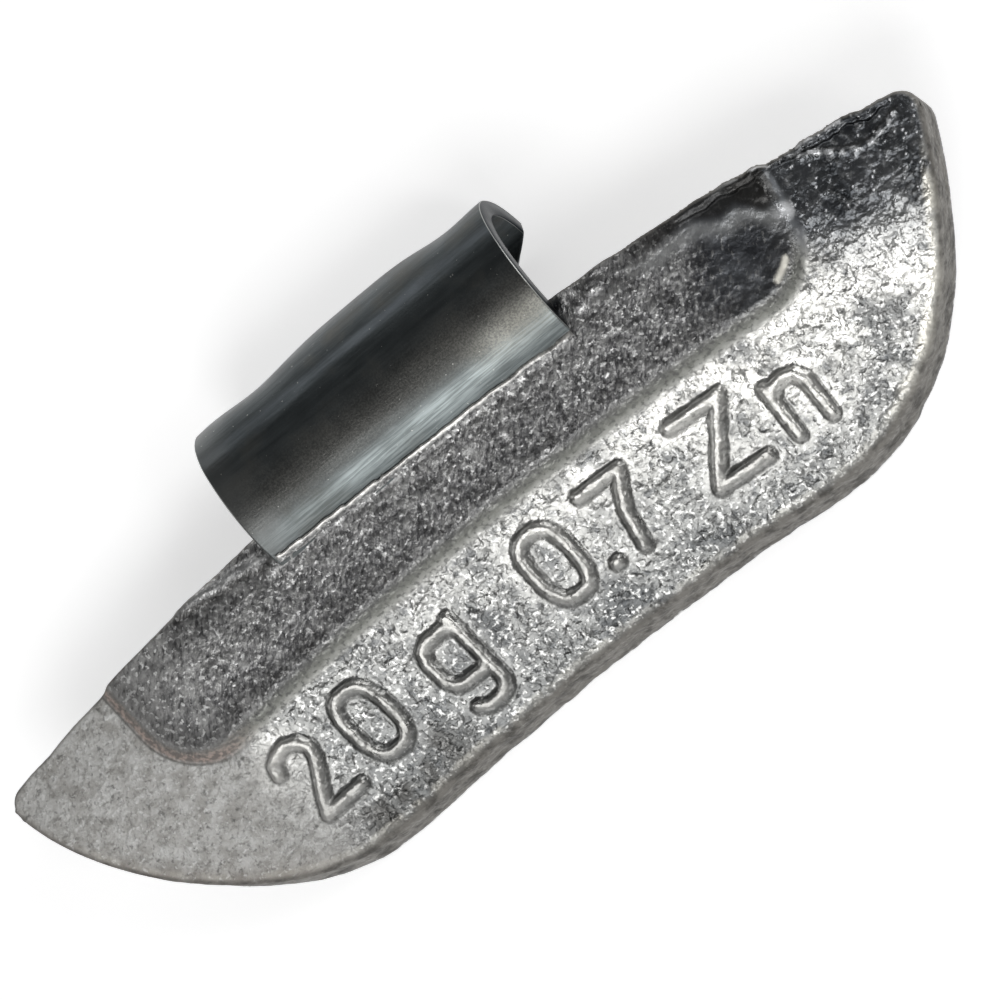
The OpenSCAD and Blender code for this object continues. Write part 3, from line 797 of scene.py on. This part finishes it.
steel, nodes, links, shader = surface("passivated_steel")
shader.inputs["Metallic"].default_value = 1.0
plain_mm = in_mm()
lengthwise = speckle(in_mm((11, 1, 1)), 0.55, 4, 0.6)
hairlines = speckle(in_mm((20, 1, 1)), 0.12, 3, 0.6)
patches = speckle(plain_mm, 2.4, 3, 0.55)
specks = speckle(plain_mm, 0.22, 2, 0.5)
dust = speckle(plain_mm, 0.10, 2, 0.6)
cut_f = attribute("cut")
brown = mixed((0.095, 0.094, 0.088), (0.165, 0.163, 0.152), ramped(dust, 0.40, 0.64))
sheen_band = mixed((0.16, 0.18, 0.18), (0.30, 0.335, 0.335), ramped(hairlines, 0.40, 0.58))
tone = coated(
    (0.055, 0.063, 0.066),
    ((0.092, 0.104, 0.108), ramped(lengthwise, 0.38, 0.66)),
    ((0.12, 0.115, 0.10), ramped(patches, 0.5, 0.7, 0, 0.5)),
    # A painted highlight across the roll at its bend
    ((0.13, 0.145, 0.160), ramped(times(attribute("bend_highlight"), lengthwise), 0.1, 0.45)),
    (brown, times(attribute("middle"), 0.85)),
    # The low band of painted sheen
    (sheen_band, attribute("low")),
    # A cream painted highlight
    ((0.33, 0.325, 0.29), times(attribute("cream_highlight"), ramped(dust, 0.40, 0.60, 0.35, 0.85))),
    ((0.17, 0.175, 0.172), ramped(attribute("left"), 0, 1, 0, 0.45)),
    ((0.55, 0.55, 0.52), ramped(specks, 0.73, 0.78, 0, 0.8)),
    # A painted highlight on the eased cut edges, and painted shade on the cut faces
    ((0.55, 0.56, 0.54), ramped(cut_f, 0.15, 0.5, 0, 0.7)),
    ((0.022, 0.026, 0.030), ramped(cut_f, 0.6, 0.95)),
)
links.new(tone, shader.inputs["Base Color"])
links.new(ramped(patches, 0.35, 0.65, 0.33, 0.45), shader.inputs["Roughness"])
scratches = added(hairlines, added(times(specks, 0.6), times(dust, 0.8)))
links.new(bumped(scratches, 0.02 * mm, 0.35), shader.inputs["Normal"])
clip.data.materials.append(steel)
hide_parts("steel_clip")
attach(clip, "root")

# The table. It is a sheet of matt white board, big enough that none of its edges shows. It
# glows only for the camera and in reflections, so it looks white and lights nothing else.
half_floor, glow = 3.0, 0.50
floor_mesh = bpy.data.meshes.new("floor")
corners = [(x * half_floor, y * half_floor, 0) for x, y in ((-1, -1), (1, -1), (1, 1), (-1, 1))]
floor_mesh.from_pydata(corners, [], [(0, 1, 2, 3)])
floor = bpy.data.objects.new("floor", floor_mesh)
scene.collection.objects.link(floor)
board, nodes, links, shader = surface("white_board")
shader.inputs["Base Color"].default_value = (0.92, 0.92, 0.92, 1)
shader.inputs["Roughness"].default_value = 0.9
shader.inputs["Emission Color"].default_value = (1, 1, 1, 1)
ray = nodes.new("ShaderNodeLightPath").outputs
seen = added(ray["Is Camera Ray"], ray["Is Glossy Ray"], "MAXIMUM")
seen = added(seen, ray["Is Transmission Ray"], "MAXIMUM")
links.new(times(seen, glow), shader.inputs["Emission Strength"])
floor_mesh.materials.append(board)

# The lamps. Six soft boxes stand round the table and face the weight: one above the front and
# one low before it, a narrow one for the figures, one at each end and one behind, in a dim room.
lamp_away, room_light = 0.60, 0.15


def softbox(name, towards, size, power):
    """A rectangular lamp that faces the weight from this direction."""
    lamp = bpy.data.lights.new(name, "AREA")
    lamp.shape = "RECTANGLE"
    lamp.size, lamp.size_y = size
    lamp.energy = power
    box = bpy.data.objects.new(name, lamp)
    scene.collection.objects.link(box)
    way = Vector(towards).normalized()
    box.location = way * lamp_away
    box.rotation_euler = way.to_track_quat("Z", "Y").to_euler()


softbox("front_box", (-0.26, -0.60, 0.76), (0.40, 0.36), 1.15)
softbox("low_box", (-0.30, -0.88, 0.28), (0.80, 0.20), 0.35)
softbox("spot_box", (0.55, -0.50, 0.67), (0.12, 0.26), 0.35)
softbox("right_box", (0.90, 0.20, 0.42), (0.22, 0.60), 1.2)
softbox("left_box", (-0.92, 0.20, 0.50), (0.22, 0.60), 0.35)
softbox("far_box", (0.10, 0.92, 0.42), (0.70, 0.16), 0.45)
world = bpy.data.worlds.new("studio")
scene.world = world
world.use_nodes = True
room = world.node_tree.nodes["Background"].inputs
room["Color"].default_value = (1, 1, 1, 1)
room["Strength"].default_value = room_light
